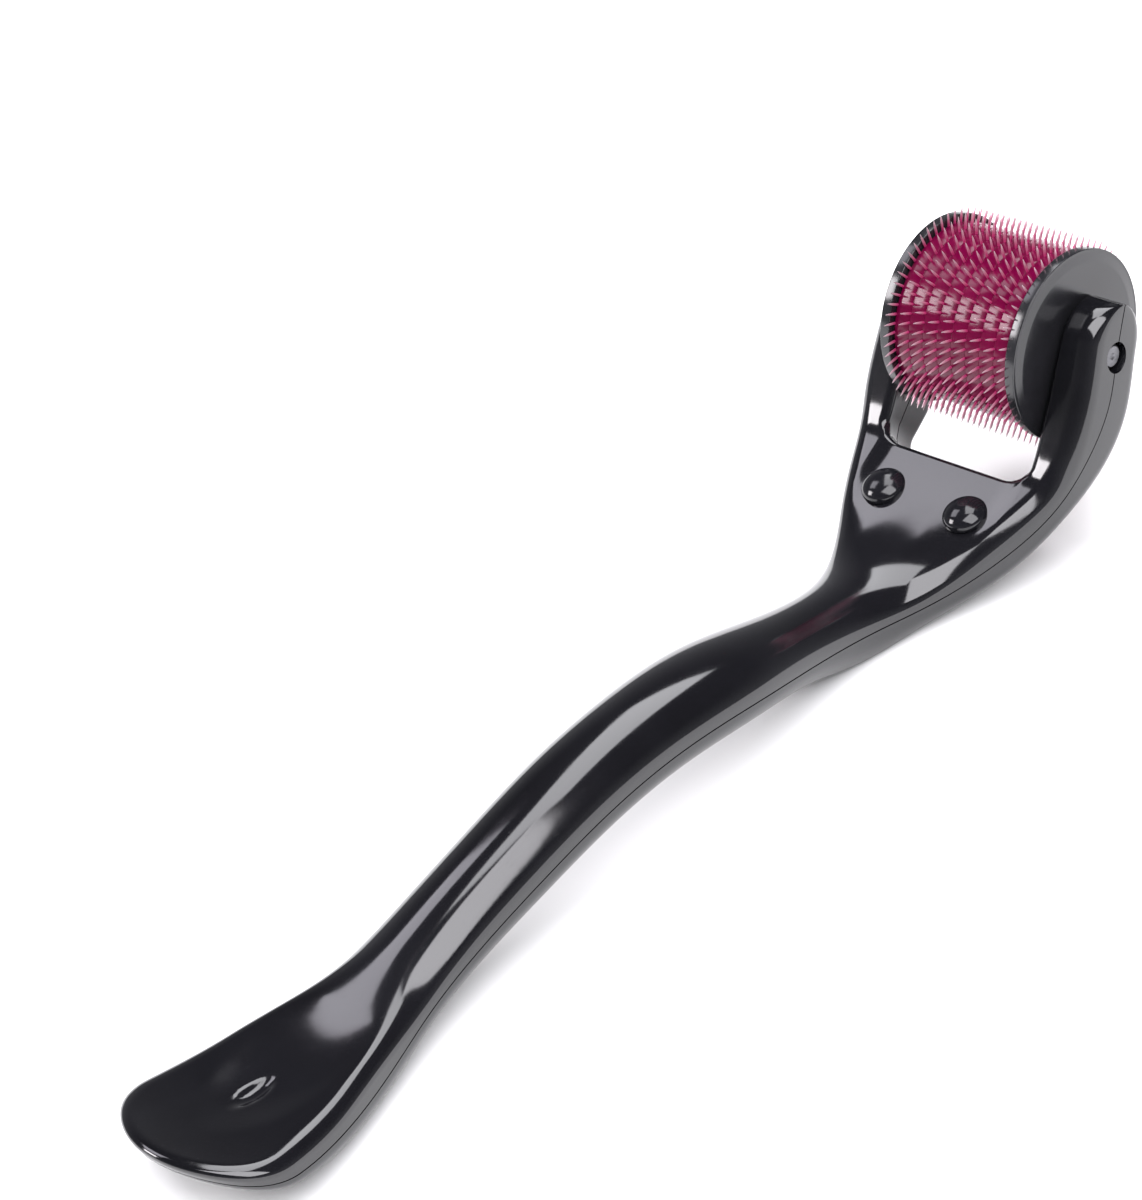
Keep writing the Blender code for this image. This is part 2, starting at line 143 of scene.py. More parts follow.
def mouldedGroup():
    # Moulded plastic: slow tone variation, faint handling smudges in the roughness, fine rubbed hairlines and
    # an orange-peel height, all from noise on object coordinates.
    tree, given, made = newGroup("mouldedPlastic", {
        "Vector": None, "Base": (0.1, 0.1, 0.1, 1.0), "Tone": 0.1, "Roughness": 0.2, "Smudge": 0.1,
        "Hairlines": 0.2, "Peel": 0.3, "Scale": 60.0}, {
        "Color": "NodeSocketColor", "Roughness": "NodeSocketFloat", "Height": "NodeSocketFloat"})
    link = tree.links.new
    slow = addNode(tree, "ShaderNodeTexNoise", (-600, 300), Detail=3.0, Roughness=0.55)
    link(given.outputs["Vector"], slow.inputs["Vector"])
    link(given.outputs["Scale"], slow.inputs["Scale"])
    tone = addNode(tree, "ShaderNodeMapRange", (-400, 300),
                   From_Min=0.3, From_Max=0.7, To_Min=-1.0, To_Max=1.0)
    link(slow.outputs["Fac"], tone.inputs["Value"])
    amount = addNode(tree, "ShaderNodeMath", (-200, 300), operation="MULTIPLY_ADD")
    link(tone.outputs["Result"], amount.inputs[0])
    link(given.outputs["Tone"], amount.inputs[1])
    amount.inputs[2].default_value = 1.0
    shade = addNode(tree, "ShaderNodeVectorMath", (0, 300), operation="SCALE")
    link(given.outputs["Base"], shade.inputs[0])
    link(amount.outputs[0], shade.inputs["Scale"])
    link(shade.outputs[0], made.inputs["Color"])

    stretch = addNode(tree, "ShaderNodeVectorMath", (-700, -50), operation="MULTIPLY")
    stretch.inputs[1].default_value = (0.12, 1.6, 1.6)
    link(given.outputs["Vector"], stretch.inputs[0])
    lines = addNode(tree, "ShaderNodeTexNoise", (-500, -50), Scale=2600.0, Detail=2.0, Roughness=0.6)
    link(stretch.outputs[0], lines.inputs["Vector"])
    thin = addNode(tree, "ShaderNodeMapRange", (-300, -50), From_Min=0.66, From_Max=0.74)
    link(lines.outputs["Fac"], thin.inputs["Value"])
    hair = addNode(tree, "ShaderNodeMath", (-100, -50), operation="MULTIPLY")
    link(thin.outputs["Result"], hair.inputs[0])
    link(given.outputs["Hairlines"], hair.inputs[1])

    smear = addNode(tree, "ShaderNodeTexNoise", (-500, -350), Scale=130.0, Detail=4.0, Roughness=0.6)
    link(given.outputs["Vector"], smear.inputs["Vector"])
    patch = addNode(tree, "ShaderNodeMapRange", (-300, -350), From_Min=0.45, From_Max=0.75)
    link(smear.outputs["Fac"], patch.inputs["Value"])
    rough = addNode(tree, "ShaderNodeMath", (-100, -350), operation="MULTIPLY_ADD")
    link(patch.outputs["Result"], rough.inputs[0])
    link(given.outputs["Smudge"], rough.inputs[1])
    link(given.outputs["Roughness"], rough.inputs[2])
    both = addNode(tree, "ShaderNodeMath", (100, -250), operation="MULTIPLY_ADD")
    link(hair.outputs[0], both.inputs[0])
    both.inputs[1].default_value = 0.25
    link(rough.outputs[0], both.inputs[2])
    link(both.outputs[0], made.inputs["Roughness"])

    peel = addNode(tree, "ShaderNodeTexNoise", (-500, -650), Scale=700.0, Detail=1.5, Roughness=0.5)
    link(given.outputs["Vector"], peel.inputs["Vector"])
    height = addNode(tree, "ShaderNodeMath", (-100, -650), operation="MULTIPLY")
    link(peel.outputs["Fac"], height.inputs[0])
    link(given.outputs["Peel"], height.inputs[1])
    cutLines = addNode(tree, "ShaderNodeMath", (100, -600), operation="MULTIPLY_ADD")
    link(hair.outputs[0], cutLines.inputs[0])
    cutLines.inputs[1].default_value = -0.15
    link(height.outputs[0], cutLines.inputs[2])
    link(cutLines.outputs[0], made.inputs["Height"])
    return tree


def steelGroup():
    # Worked steel: bright and dull streaks round the piece, and the same streaks in the height.
    tree, given, made = newGroup("workedSteel", {
        "Vector": None, "Base": (0.6, 0.6, 0.6, 1.0), "Dull": (0.4, 0.4, 0.4, 1.0), "Roughness": 0.25,
        "Spread": 0.15, "Streaks": 900.0}, {
        "Color": "NodeSocketColor", "Roughness": "NodeSocketFloat", "Height": "NodeSocketFloat"})
    link = tree.links.new
    stretch = addNode(tree, "ShaderNodeVectorMath", (-700, 100), operation="MULTIPLY")
    stretch.inputs[1].default_value = (0.35, 2.0, 0.35)
    link(given.outputs["Vector"], stretch.inputs[0])
    streak = addNode(tree, "ShaderNodeTexNoise", (-500, 100), Detail=3.0, Roughness=0.6)
    link(stretch.outputs[0], streak.inputs["Vector"])
    link(given.outputs["Streaks"], streak.inputs["Scale"])
    share = addNode(tree, "ShaderNodeMapRange", (-300, 100), From_Min=0.35, From_Max=0.65)
    link(streak.outputs["Fac"], share.inputs["Value"])
    mix = addNode(tree, "ShaderNodeMix", (-50, 200), data_type="RGBA")
    link(share.outputs["Result"], mix.inputs["Factor"])
    link(given.outputs["Dull"], mix.inputs[6])
    link(given.outputs["Base"], mix.inputs[7])
    link(mix.outputs[2], made.inputs["Color"])
    rough = addNode(tree, "ShaderNodeMath", (-50, -50), operation="MULTIPLY_ADD")
    link(share.outputs["Result"], rough.inputs[0])
    link(given.outputs["Spread"], rough.inputs[1])
    link(given.outputs["Roughness"], rough.inputs[2])
    link(rough.outputs[0], made.inputs["Roughness"])
    link(streak.outputs["Fac"], made.inputs["Height"])
    return tree


def needleGroup():
    # Fine needle: a painted reflection of the magenta drum near its root, fading to plain steel at its tip,
    # by the distance from the axle.
    tree, given, made = newGroup("needleDrumReflection", {
        "Vector": None, "DrumReflection": (0.6, 0.2, 0.3, 1.0), "Tip": (0.6, 0.6, 0.6, 1.0), "Low": 0.009,
        "High": 0.011, "Roughness": 0.3, "Spread": 0.1}, {
        "Color": "NodeSocketColor", "Roughness": "NodeSocketFloat", "Height": "NodeSocketFloat"})
    link = tree.links.new
    move = addNode(tree, "ShaderNodeVectorMath", (-700, 100), operation="SUBTRACT")
    move.inputs[1].default_value = tuple(axisPoint)
    link(given.outputs["Vector"], move.inputs[0])
    flat = addNode(tree, "ShaderNodeVectorMath", (-550, 100), operation="MULTIPLY")
    flat.inputs[1].default_value = (1.0, 0.0, 1.0)
    link(move.outputs[0], flat.inputs[0])
    far = addNode(tree, "ShaderNodeVectorMath", (-400, 100), operation="LENGTH")
    link(flat.outputs[0], far.inputs[0])
    share = addNode(tree, "ShaderNodeMapRange", (-250, 100))
    link(far.outputs["Value"], share.inputs["Value"])
    link(given.outputs["Low"], share.inputs["From Min"])
    link(given.outputs["High"], share.inputs["From Max"])
    # Painted reflection: the drum's magenta colour is mixed into the needle near its root and fades out
    # towards the tip.
    mix = addNode(tree, "ShaderNodeMix", (-50, 200), data_type="RGBA")
    link(share.outputs["Result"], mix.inputs["Factor"])
    link(given.outputs["DrumReflection"], mix.inputs[6])
    link(given.outputs["Tip"], mix.inputs[7])
    link(mix.outputs[2], made.inputs["Color"])
    grain = addNode(tree, "ShaderNodeTexNoise", (-500, -200), Scale=2500.0, Detail=2.0)
    link(given.outputs["Vector"], grain.inputs["Vector"])
    rough = addNode(tree, "ShaderNodeMath", (-50, -150), operation="MULTIPLY_ADD")
    link(grain.outputs["Fac"], rough.inputs[0])
    link(given.outputs["Spread"], rough.inputs[1])
    link(given.outputs["Roughness"], rough.inputs[2])
    link(rough.outputs[0], made.inputs["Roughness"])
    link(grain.outputs["Fac"], made.inputs["Height"])
    return tree


def newMaterial(name, group, settings, bump, shaderValues):
    # Principled material whose colour, roughness and bump come from a surface group.
    material = bpy.data.materials.new(name)
    material.use_nodes = True
    tree = material.node_tree
    shader = tree.nodes["Principled BSDF"]
    for key, value in shaderValues.items():
        shader.inputs[key].default_value = value
    where = addNode(tree, "ShaderNodeTexCoord", (-900, 0))
    surface = addNode(tree, "ShaderNodeGroup", (-600, 0))
    surface.node_tree = group
    for key, value in settings.items():
        surface.inputs[key].default_value = value
    tree.links.new(where.outputs["Object"], surface.inputs["Vector"])
    tree.links.new(surface.outputs["Color"], shader.inputs["Base Color"])
    tree.links.new(surface.outputs["Roughness"], shader.inputs["Roughness"])
    relief = addNode(tree, "ShaderNodeBump", (-300, -300),
                     Strength=bump["strength"], Distance=bump["distance"])
    tree.links.new(surface.outputs["Height"], relief.inputs["Height"])
    tree.links.new(relief.outputs["Normal"], shader.inputs["Normal"])
    return material


moulded = mouldedGroup()
steel = steelGroup()
needleDrumReflection = needleGroup()
handleBlack = newMaterial("handle_black", moulded, {
    "Base": (0.006, 0.006, 0.0075, 1), "Tone": 0.25, "Roughness": 0.09, "Smudge": 0.04, "Hairlines": 0.25,
    "Peel": 0.5, "Scale": 70.0}, {"strength": 0.12, "distance": 0.00004}, {"IOR": 1.65})
pinBlack = newMaterial("pin_black", moulded, {
    "Base": (0.008, 0.008, 0.01, 1), "Tone": 0.2, "Roughness": 0.1, "Smudge": 0.05, "Hairlines": 0.2,
    "Peel": 0.5, "Scale": 200.0}, {"strength": 0.12, "distance": 0.00004}, {"IOR": 1.5})
capBlack = newMaterial("cap_black", moulded, {
    "Base": (0.012, 0.012, 0.014, 1), "Tone": 0.2, "Roughness": 0.17, "Smudge": 0.04, "Hairlines": 0.2,
    "Peel": 0.4, "Scale": 150.0}, {"strength": 0.1, "distance": 0.00004}, {"IOR": 1.55})
ringMagenta = newMaterial("ring_magenta", moulded, {
    "Base": (0.1, 0.0004, 0.024, 1), "Tone": 0.15, "Roughness": 0.11, "Smudge": 0.08, "Hairlines": 0.2,
    "Peel": 0.6, "Scale": 220.0}, {"strength": 0.15, "distance": 0.00004},
    {"IOR": 1.5, "Specular IOR Level": 0.25})
corePlastic = newMaterial("core_plastic", moulded, {
    "Base": (0.3, 0.002, 0.07, 1), "Tone": 0.2, "Roughness": 0.4, "Smudge": 0.1, "Hairlines": 0.3,
    "Peel": 0.8, "Scale": 180.0}, {"strength": 0.3, "distance": 0.00005}, {"IOR": 1.5})
# The needles' root colour is a painted reflection of the magenta drum, not a colour of the steel.
needleSteel = newMaterial("needle_steel", needleDrumReflection, {
    "DrumReflection": (0.55, 0.05, 0.19, 1), "Tip": (0.55, 0.44, 0.47, 1), "Low": 0.0095, "High": 0.0109,
    "Roughness": 0.28, "Spread": 0.1}, {"strength": 0.1, "distance": 0.00002}, {"Metallic": 0.45})
axleSteel = newMaterial("axle_steel", steel, {
    "Base": (0.2, 0.2, 0.21, 1), "Dull": (0.12, 0.12, 0.13, 1), "Roughness": 0.34, "Spread": 0.15,
    "Streaks": 1100.0}, {"strength": 0.2, "distance": 0.00003}, {"Metallic": 1.0})
print("materials made")


shell = {
    "forkHalfWidth": 14.4,
    "forkInside": 9.35,   # from the middle to an arm's inner side
    "windowCorner": 2.6,
    "plateDish": 0.2,
    "armTip": 4.1,   # length over which an arm's end rounds off
    "armReach": 5.3,   # from the axle's middle to the arm's end
    "boreRadius": 1.6,
    "tipRound": 8.5,
    "seamHalfGap": 0.07,
    "leastWall": 0.1,
    "paddleSpan": (-108, -94),   # x over which the flat paddle becomes the oval grip
    "forkSpan": (-27, -13),   # x over which the oval grip becomes the flat fork
    "plateSpan": (-24, -12),   # x over which the crossbar's dish sinks in
    "plateFade": (7.2, 9.6),   # y over which it ends at each side
    "plateEnd": 4,   # and the length over which it ends past the window's edge
    "paddleEdge": (8.5, 1.5),   # width of the paddle's fillet below, and its drop above
    "forkEdge": (2.2, 2.0),   # width and drop of the fork's fillet
    "roundShare": 0.9,   # share of a shell's height that its oval section takes
    "handleRows": 300,
    "neckCrowd": 1.6,   # how much closer the rows stand from the neck on
    "tipCrowd": 1.5,   # and at the tip
    "endRows": (17, 15, 15),   # rows of an arm: up to the bore, across it and beyond it
    "armColumns": 22,
    "plateColumns": 44,
    "innerShare": 0.6,   # share of the grip's width that the crossbar's columns take
}
# The thumb rest's middle lies this far back from the pins, and the lip this far in from the crossbar's edge.
thumbRest = {"back": 2.5, "frontLength": 4.6, "backLength": 9.8, "halfWidth": 6.4, "narrowing": 0.42,
             "depth": 0.9, "slope": 0.55}
lip = {"inset": 1.7, "bow": 0.025, "height": 1.2, "thickness": 0.8, "fade": (5.8, 8.6)}
# Bowl and small oval dish in the paddle's top; place is the length from the handle's tip to the middle.
bowl = {"place": 19, "halfLength": 13, "halfWidth": 6.6, "depth": 0.35}
dish = {"place": 12.6, "halfLength": 2.6, "halfWidth": 1.25, "depth": 0.4}
# Side profile from the handle's tip to the arms' tips: seam x, z, top x, z, bottom x, z and half width.
stations = np.array([
    (-123.9, -13.0, -124.5, -11.5, -123.3, -14.7, 9.0),
    (-120.6, -14.6, -121.3, -12.6, -120.0, -17.0, 10.0),
    (-115.7, -16.1, -116.3, -13.8, -115.2, -19.2, 10.0),
    (-109.8, -16.9, -110.0, -14.5, -109.6, -20.7, 9.0),
    (-102.3, -16.9, -102.4, -13.9, -102.2, -20.7, 7.1),
    (-95.2, -15.8, -95.6, -12.6, -95.0, -19.4, 5.6),
    (-88.2, -14.4, -88.8, -10.9, -87.8, -18.0, 5.1),
    (-79.2, -12.8, -79.8, -9.0, -78.8, -16.7, 5.1),
    (-69.2, -11.4, -69.6, -7.4, -68.8, -15.4, 5.3),
    (-59.2, -11.2, -59.2, -7.2, -59.2, -15.2, 5.6),
    (-48.2, -12.6, -47.6, -8.8, -49.0, -16.4, 5.8),
    (-38.7, -15.0, -37.7, -11.7, -39.9, -18.7, 4.8),
    (-30.7, -16.6, -30.2, -13.4, -31.6, -21.6, 5.0),
    (-23.7, -16.7, -24.2, -13.6, -23.0, -21.3, 7.2),
    (-17.2, -14.7, -17.8, -11.8, -16.1, -18.2, 10.5),
    (-10.9, -11.5, -11.7, -9.2, -9.2, -14.4, 13.1),
    (-6.6, -8.0, -9.1, -6.4, -3.6, -11.2, 14.1),
    (-2.4, -3.8, -5.9, -1.6, 1.2, -6.7, 14.2),
    (0.0, 0.0, -3.6, 2.2, 3.8, -2.4, 13.8),
    (3.2, 5.1, -0.3, 7.3, 7.0, 2.6, 13.4),
])
neckRow, pinRow, frontRow, axleRow = 12, 14, 15, 18   # stations at the neck, pins, crossbar's edge and axle


def naturalSpline(knots, values, at):
    # Natural cubic spline: second derivatives from the tridiagonal system, then the cubic on each interval.
    h = np.diff(knots)
    n = len(knots)
    inner = np.arange(1, n - 1)
    system = np.eye(n)
    system[inner, inner - 1] = h[:-1]
    system[inner, inner] = 2 * (h[:-1] + h[1:])
    system[inner, inner + 1] = h[1:]
    right = np.zeros_like(values)
    slope = np.diff(values, axis=0) / h[:, None]
    right[1:-1] = 6 * np.diff(slope, axis=0)
    bend = np.linalg.solve(system, right)
    k = np.clip(np.searchsorted(knots, at, side="right") - 1, 0, n - 2)
    a, b, w = (knots[k + 1] - at)[..., None], (at - knots[k])[..., None], h[k][..., None]
    cubic = (bend[k] * a ** 3 + bend[k + 1] * b ** 3) / (6 * w)
    return cubic + (values[k] / w - bend[k] * w / 6) * a + (values[k + 1] / w - bend[k + 1] * w / 6) * b


knots = np.concatenate([[0], np.cumsum(np.hypot(*np.diff(stations[:, :2], axis=0).T))])
plateFront = knots[frontRow]
axlePlace = knots[axleRow]
armEnd = axlePlace + shell["armReach"]


def profileAt(s):
    # Seam, top and bottom point and half width at length s; the width closes as a circle's arc at the tip.
    p = naturalSpline(knots, stations, np.asarray(s, float))
    q = np.clip(s / shell["tipRound"], 0, 1)
    width = np.minimum(p[..., 6], shell["forkHalfWidth"]) * np.sqrt(np.clip(1 - (1 - q) ** 2, 0, 1))
    return p[..., 0:2], p[..., 2:4], p[..., 4:6], width


def fillet(x, power=2.2):
    # Superellipse quarter: 0 at the edge, 1 at x = 1 and beyond.
    x = np.clip(x, 0, 1)
    return (1 - (1 - x) ** power) ** (1 / power)


def windowDistance(s, y):
    # Distance to a rectangle with two round corners: length outside the corner's centre less its radius.
    a = plateFront + shell["windowCorner"] - s
    b = np.abs(y) - (shell["forkInside"] - shell["windowCorner"])
    outside = np.hypot(np.maximum(a, 0), np.maximum(b, 0))
    return outside + np.minimum(np.maximum(a, b), 0) - shell["windowCorner"]


def outlineDistance(s, y):
    # Distance to the outline: half width squared less y squared, over twice the length of its gradient.
    step = 0.05
    width = profileAt(s)[3]
    slope = (profileAt(s + step)[3] - profileAt(np.maximum(s - step, 0))[3]) / (2 * step)
    return (width ** 2 - y ** 2) / (2 * np.sqrt(y ** 2 + (width * slope) ** 2) + 1e-6)


def thumbHollow(s, y):
    # Teardrop bowl in the underside, widest near the crossbar: a soft step of its ellipse's equation.
    along = s - (knots[pinRow] - thumbRest["back"])
    long = along / np.where(along > 0, thumbRest["frontLength"], thumbRest["backLength"])
    across = y / (thumbRest["halfWidth"] * (1 - thumbRest["narrowing"] * softStep(-long, 0, 1)))
    return thumbRest["depth"] * softStep(1 - (long ** 2 + across ** 2), 0, thumbRest["slope"])


def guardLip(s, y):
    # Crescent ridge beside the window on the underside: a bell curve across a shallow parabola.
    line = plateFront - lip["inset"] - lip["bow"] * y ** 2
    return lip["height"] * np.exp(-((s - line) / lip["thickness"]) ** 2) * (
        1 - softStep(np.abs(y), *lip["fade"]))


def ovalHollow(s, y, oval):
    # Oval bowl: its depth times a soft step of the ellipse's equation, 1 less both offsets squared.
    along, across = (s - oval["place"]) / oval["halfLength"], y / oval["halfWidth"]
    return oval["depth"] * softStep(1 - along ** 2 - across ** 2, 0, 1)


def shellPoint(side, s, y, level):
    # Point of the top shell (side 1) or underside shell (side -1), at level 1 on its outside and at 0 on its
    # seam face: the seam point plus a share of the way out, less edge fillets, hollows and the arm's tip.
    seam, top, bottom, width = profileAt(s)
    outer = top if side > 0 else bottom
    reach = np.hypot(*np.moveaxis(outer - seam, -1, 0))
    x = seam[..., 0]
    paddle = 1 - softStep(x, *shell["paddleSpan"])
    fork = softStep(x, *shell["forkSpan"])
    plain = (1 - paddle) * (1 - fork)
    edge = outlineDistance(s, y)
    ellipse = np.sqrt(np.clip(1 - (y / (width + 1e-6)) ** 2, 0, 1))
    paddleWidth, paddleDrop = shell["paddleEdge"]
    forkWidth, forkDrop = shell["forkEdge"]
    most = shell["roundShare"] * reach
    if side > 0:
        across, drop = forkWidth, paddleDrop * paddle + forkDrop * fork
        middle = 1 - softStep(np.abs(y), *shell["plateFade"])
        middle = middle * (1 - softStep(s, plateFront, plateFront + shell["plateEnd"]))
        carve = ovalHollow(s, y, bowl) + ovalHollow(s, y, dish)
        carve = carve + shell["plateDish"] * softStep(x, *shell["plateSpan"]) * middle
    else:
        across, drop = paddleWidth * paddle + forkWidth * (1 - paddle), most * paddle + forkDrop * fork
        carve = thumbHollow(s, y) - guardLip(s, y)
    height = reach - np.minimum(drop, most) * (1 - fillet(edge / across))
    height = height - plain * most * (1 - ellipse)
    height = height - fork * (1 - fillet(windowDistance(s, y)))
    # The arm's end follows an ellipse, stopped just short of its edge so that the last wall keeps a height.
    over = np.clip((s - (armEnd - shell["armTip"])) / shell["armTip"], 0, 0.985)
    height = height * np.sqrt(1 - over ** 2)
    bore = np.sqrt(np.clip(shell["boreRadius"] ** 2 - (s - axlePlace) ** 2, 0, None))
    floor = np.maximum(bore, shell["seamHalfGap"])
    thick = np.maximum(height - floor, shell["leastWall"])
    outward = (outer - seam) / reach[..., None]
    spot = seam + outward * (floor + thick * level)[..., None]
    spot[..., 1] = np.maximum(spot[..., 1], -axisPoint[2] / mm)
    spot = spot - outward * (np.minimum(carve, thick - shell["leastWall"]) * level)[..., None]
    return np.stack([spot[..., 0], y, spot[..., 1]], -1)


def shellGrid():
    # Lengths s and offsets y of a grid over the shell. Columns run right arm, crossbar, left arm; the rows
    # past the crossbar cover only the arms. Rows crowd together at the tip and under the thumb, as the
    # inverse of a running total, and columns towards each edge, as a sine or cosine of their share.
    arms, plate = shell["armColumns"], shell["plateColumns"] - 1
    samples = np.linspace(0.05, plateFront, 800)
    crowd = 1 + shell["neckCrowd"] * softStep(samples, knots[neckRow] - 6, knots[neckRow])
    crowd = crowd + shell["tipCrowd"] * (1 - softStep(samples, 0, 9))
    total = np.cumsum(crowd)
    handleRows = np.interp(np.linspace(total[0], total[-1], shell["handleRows"]), total, samples)
    bore = shell["boreRadius"]
    before, beside, beyond = shell["endRows"]
    armRows = np.concatenate([
        np.linspace(plateFront + shell["windowCorner"], axlePlace - bore, before)[1:-1],
        axlePlace - bore * np.cos(np.linspace(0, np.pi, beside)),
        axlePlace + bore + (shell["armReach"] - bore) * np.sin(np.linspace(0, 0.5 * np.pi, beyond)[1:])])

    u = np.linspace(0, 1, arms)
    inner = shell["innerShare"]
    plainShare = inner + (1 - inner) * np.sin(0.5 * np.pi * u)
    forkShare = 0.5 - 0.5 * np.cos(np.pi * u)
    nothing = np.zeros(plate)
    across = np.linspace(-1, 1, plate + 2)[1:-1]
    isArm = np.repeat([True, False, True], [arms, plate, arms])
    sign = np.repeat([-1.0, 0.0, 1.0], [arms, plate, arms])
    plainRow = np.concatenate([plainShare[::-1], nothing, plainShare])
    forkRow = np.concatenate([forkShare[::-1], nothing, forkShare])
    plateRow = np.concatenate([np.zeros(arms), across, np.zeros(arms)])

    def offsets(s):
        # Offsets y of every column at the lengths s: a share of the width, blended into the fork's layout.
        width = profileAt(s)[3]
        blend = softStep(s, knots[neckRow], plateFront - 3)
        arm = (1 - blend) * width * plainRow + blend * (
            shell["forkInside"] + (width - shell["forkInside"]) * forkRow)
        middle = ((1 - blend) * inner * width + blend * shell["forkInside"]) * plateRow
        return np.where(isArm, sign * arm, middle)

    s = np.repeat(handleRows[:, None], len(isArm), 1)
    corner = shell["windowCorner"]
    intoCorner = np.clip(np.abs(offsets(s)) - (shell["forkInside"] - corner), 0, corner)
    curve = corner - np.sqrt(corner ** 2 - intoCorner ** 2)
    s = s + softStep(s, plateFront - 9, plateFront) * np.where(isArm, corner, curve)
    s = np.concatenate([s, np.repeat(armRows[:, None], len(isArm), 1)])
    return s, offsets(s), isArm


def shellMesh(side):
    # Points and quads of one shell: outside, seam face, and the walls between them along every open edge.
    s, y, isArm = shellGrid()
    rows, columns = s.shape
    used = np.ones(s.shape, bool)
    used[shell["handleRows"]:, ~isArm] = False
    number = np.cumsum(used).reshape(s.shape) - 1
    corners = np.stack([number[:-1, :-1], number[:-1, 1:], number[1:, 1:], number[1:, :-1]], -1)
    keep = used[:-1, :-1] & used[:-1, 1:] & used[1:, 1:] & used[1:, :-1]
    keep[shell["handleRows"] - 1:] &= isArm[:-1] & isArm[1:]
    quads = corners[keep]
    count = used.sum()
    edges = np.stack([quads, np.roll(quads, -1, 1)], -1).reshape(-1, 2)
    key = np.sort(edges, 1) @ np.array([count, 1])
    _, first, times = np.unique(key, return_index=True, return_counts=True)
    rim = edges[first[times == 1]]
    walls = np.stack([rim[:, 1], rim[:, 0], rim[:, 0] + count, rim[:, 1] + count], -1)
    outside = shellPoint(side, s, y, np.ones_like(s))[used]
    inside = shellPoint(side, s, y, np.zeros_like(s))[used]
    faces = np.concatenate([quads, quads[:, ::-1] + count, walls])
    return np.concatenate([outside, inside]), faces if side < 0 else faces[:, ::-1]


def surfaceFrame(side, s, y):
    # A place on a shell's outside and its normal there, from the cross product of the two slopes.
    step = 0.02
    one = np.ones_like(s)
    place = shellPoint(side, s, y, one)
    alongStep = shellPoint(side, s + step, y, one) - place
    acrossStep = shellPoint(side, s, y + step, one) - place
    normal = np.cross(alongStep, acrossStep)
    normal /= np.linalg.norm(normal, axis=-1, keepdims=True)
    return place, normal * np.sign(normal[..., 2:3]) * side


gripDots = {"radius": 0.38, "height": 0.28, "rows": 5, "reach": 2, "rowStep": 1.2, "columnStep": 1.45,
            "back": 5.6, "halfWidth": 3.7, "narrowing": 0.42, "sink": 0.3, "segments": 14, "rings": 5}


def gripDotMesh():
    # Low domes on the thumb rest, closed below: radius times the cosine of the rise, height times its sine.
    d = gripDots
    columns = np.arange(-d["reach"], d["reach"] + 1)
    row, column = np.meshgrid(np.arange(d["rows"]), columns, indexing="ij")
    y = (column + 0.5 * (row % 2)) * d["columnStep"]
    s = knots[pinRow] - d["back"] - row * d["rowStep"]
    inside = np.abs(y) < d["halfWidth"] - d["narrowing"] * row
    s, y = s[inside], y[inside]
    place, normal = surfaceFrame(-1, s, y)
    first = np.cross(normal, [0.0, 1.0, 0.0])
    first /= np.linalg.norm(first, axis=-1, keepdims=True)
    second = np.cross(normal, first)
    turn = np.linspace(0, 2 * np.pi, d["segments"], endpoint=False)[None, :, None]
    rise = np.linspace(-d["sink"], 0.5 * np.pi, d["rings"])
    away = np.append(0, d["radius"] * np.cos(rise))[:, None, None]
    lift = np.append(d["height"] * np.sin(rise[0]), d["height"] * np.sin(rise))[:, None, None]
    circle = first[:, None, None] * np.cos(turn) + second[:, None, None] * np.sin(turn)
    points = place[:, None, None] + away * circle + lift * normal[:, None, None]
    quads = gridQuads(len(away), d["segments"], True)
    starts = np.arange(len(s))[:, None, None] * len(away) * d["segments"]
    return points.reshape(-1, 3), (quads[None] + starts).reshape(-1, 4)


addPiece("back_shell_skin", *shellMesh(1), handleBlack, "handle", ["back_shell"])
addPiece("front_shell_skin", *shellMesh(-1), handleBlack, "handle", ["front_shell"])
addPiece("thumb_grip_dots", *gripDotMesh(), handleBlack, "handle", merge=True)
print("handle shells made")


pin = {"offset": 5.4, "forward": 1.3, "headRadius": 2.35, "headHeight": 1.1, "edge": 0.22, "sink": 0.12,
       "swell": 0.3, "shankRadius": 1.2, "shankStart": 0.3, "rings": 14, "segments": 96}


def pressPinMesh(side):
    # Domed head: a quarter ellipse turned about the crossbar's normal, on a short straight edge and a shank.
    seam, top, _, _ = profileAt(knots[pinRow] + pin["forward"])
    along = np.array([top[0] - seam[0], 0, top[1] - seam[1]])
    reach = np.linalg.norm(along)
    along /= reach
    base = reach - shell["plateDish"] - pin["sink"]
    domeHeight = pin["headHeight"] - pin["edge"] + pin["swell"]
    rise = np.linspace(0, 0.5 * np.pi, pin["rings"])
    head = np.stack([pin["headRadius"] * np.cos(rise), base + pin["edge"] + domeHeight * np.sin(rise)], -1)
    shank, start = pin["shankRadius"], pin["shankStart"]
    profile = np.concatenate([[(0, start), (shank, start), (shank, base), (pin["headRadius"], base)], head])
    turn = np.linspace(0, 2 * np.pi, pin["segments"], endpoint=False)[:, None, None]
    first = np.array([0.0, 1.0, 0.0])
    second = np.cross(along, first)
    centre = np.array([seam[0], side * pin["offset"], seam[1]])
    points = centre + profile[None, :, 1:] * along + profile[None, :, :1] * (
        np.cos(turn) * first + np.sin(turn) * second)
    return points.reshape(-1, 3), gridQuads(pin["segments"], len(profile), False, True)


for side, name in ((1, "left"), (-1, "right")):
    addPiece(name + "_press_pin_head", *pressPinMesh(side), pinBlack, "handle",
             [name + "_press_pin"], 50, True)
print("press pins made")


axle = {"radius": 1.3, "halfLength": 13.3, "chamfer": 0.25, "centreHole": 0.35, "holeDepth": 0.3,
        "segments": 64}


def axleMesh():
    # Rod with chamfered ends and a small centre hole in each: its half profile and the mirror of it, turned.
    end, cut, radius = axle["halfLength"], axle["chamfer"], axle["radius"]
    half = np.array([(0, end - axle["holeDepth"]), (axle["centreHole"], end), (radius - cut, end),
                     (radius, end - cut)])
    return turnedPoints(np.concatenate([half * (1, -1), half[::-1]]), axle["segments"], False)


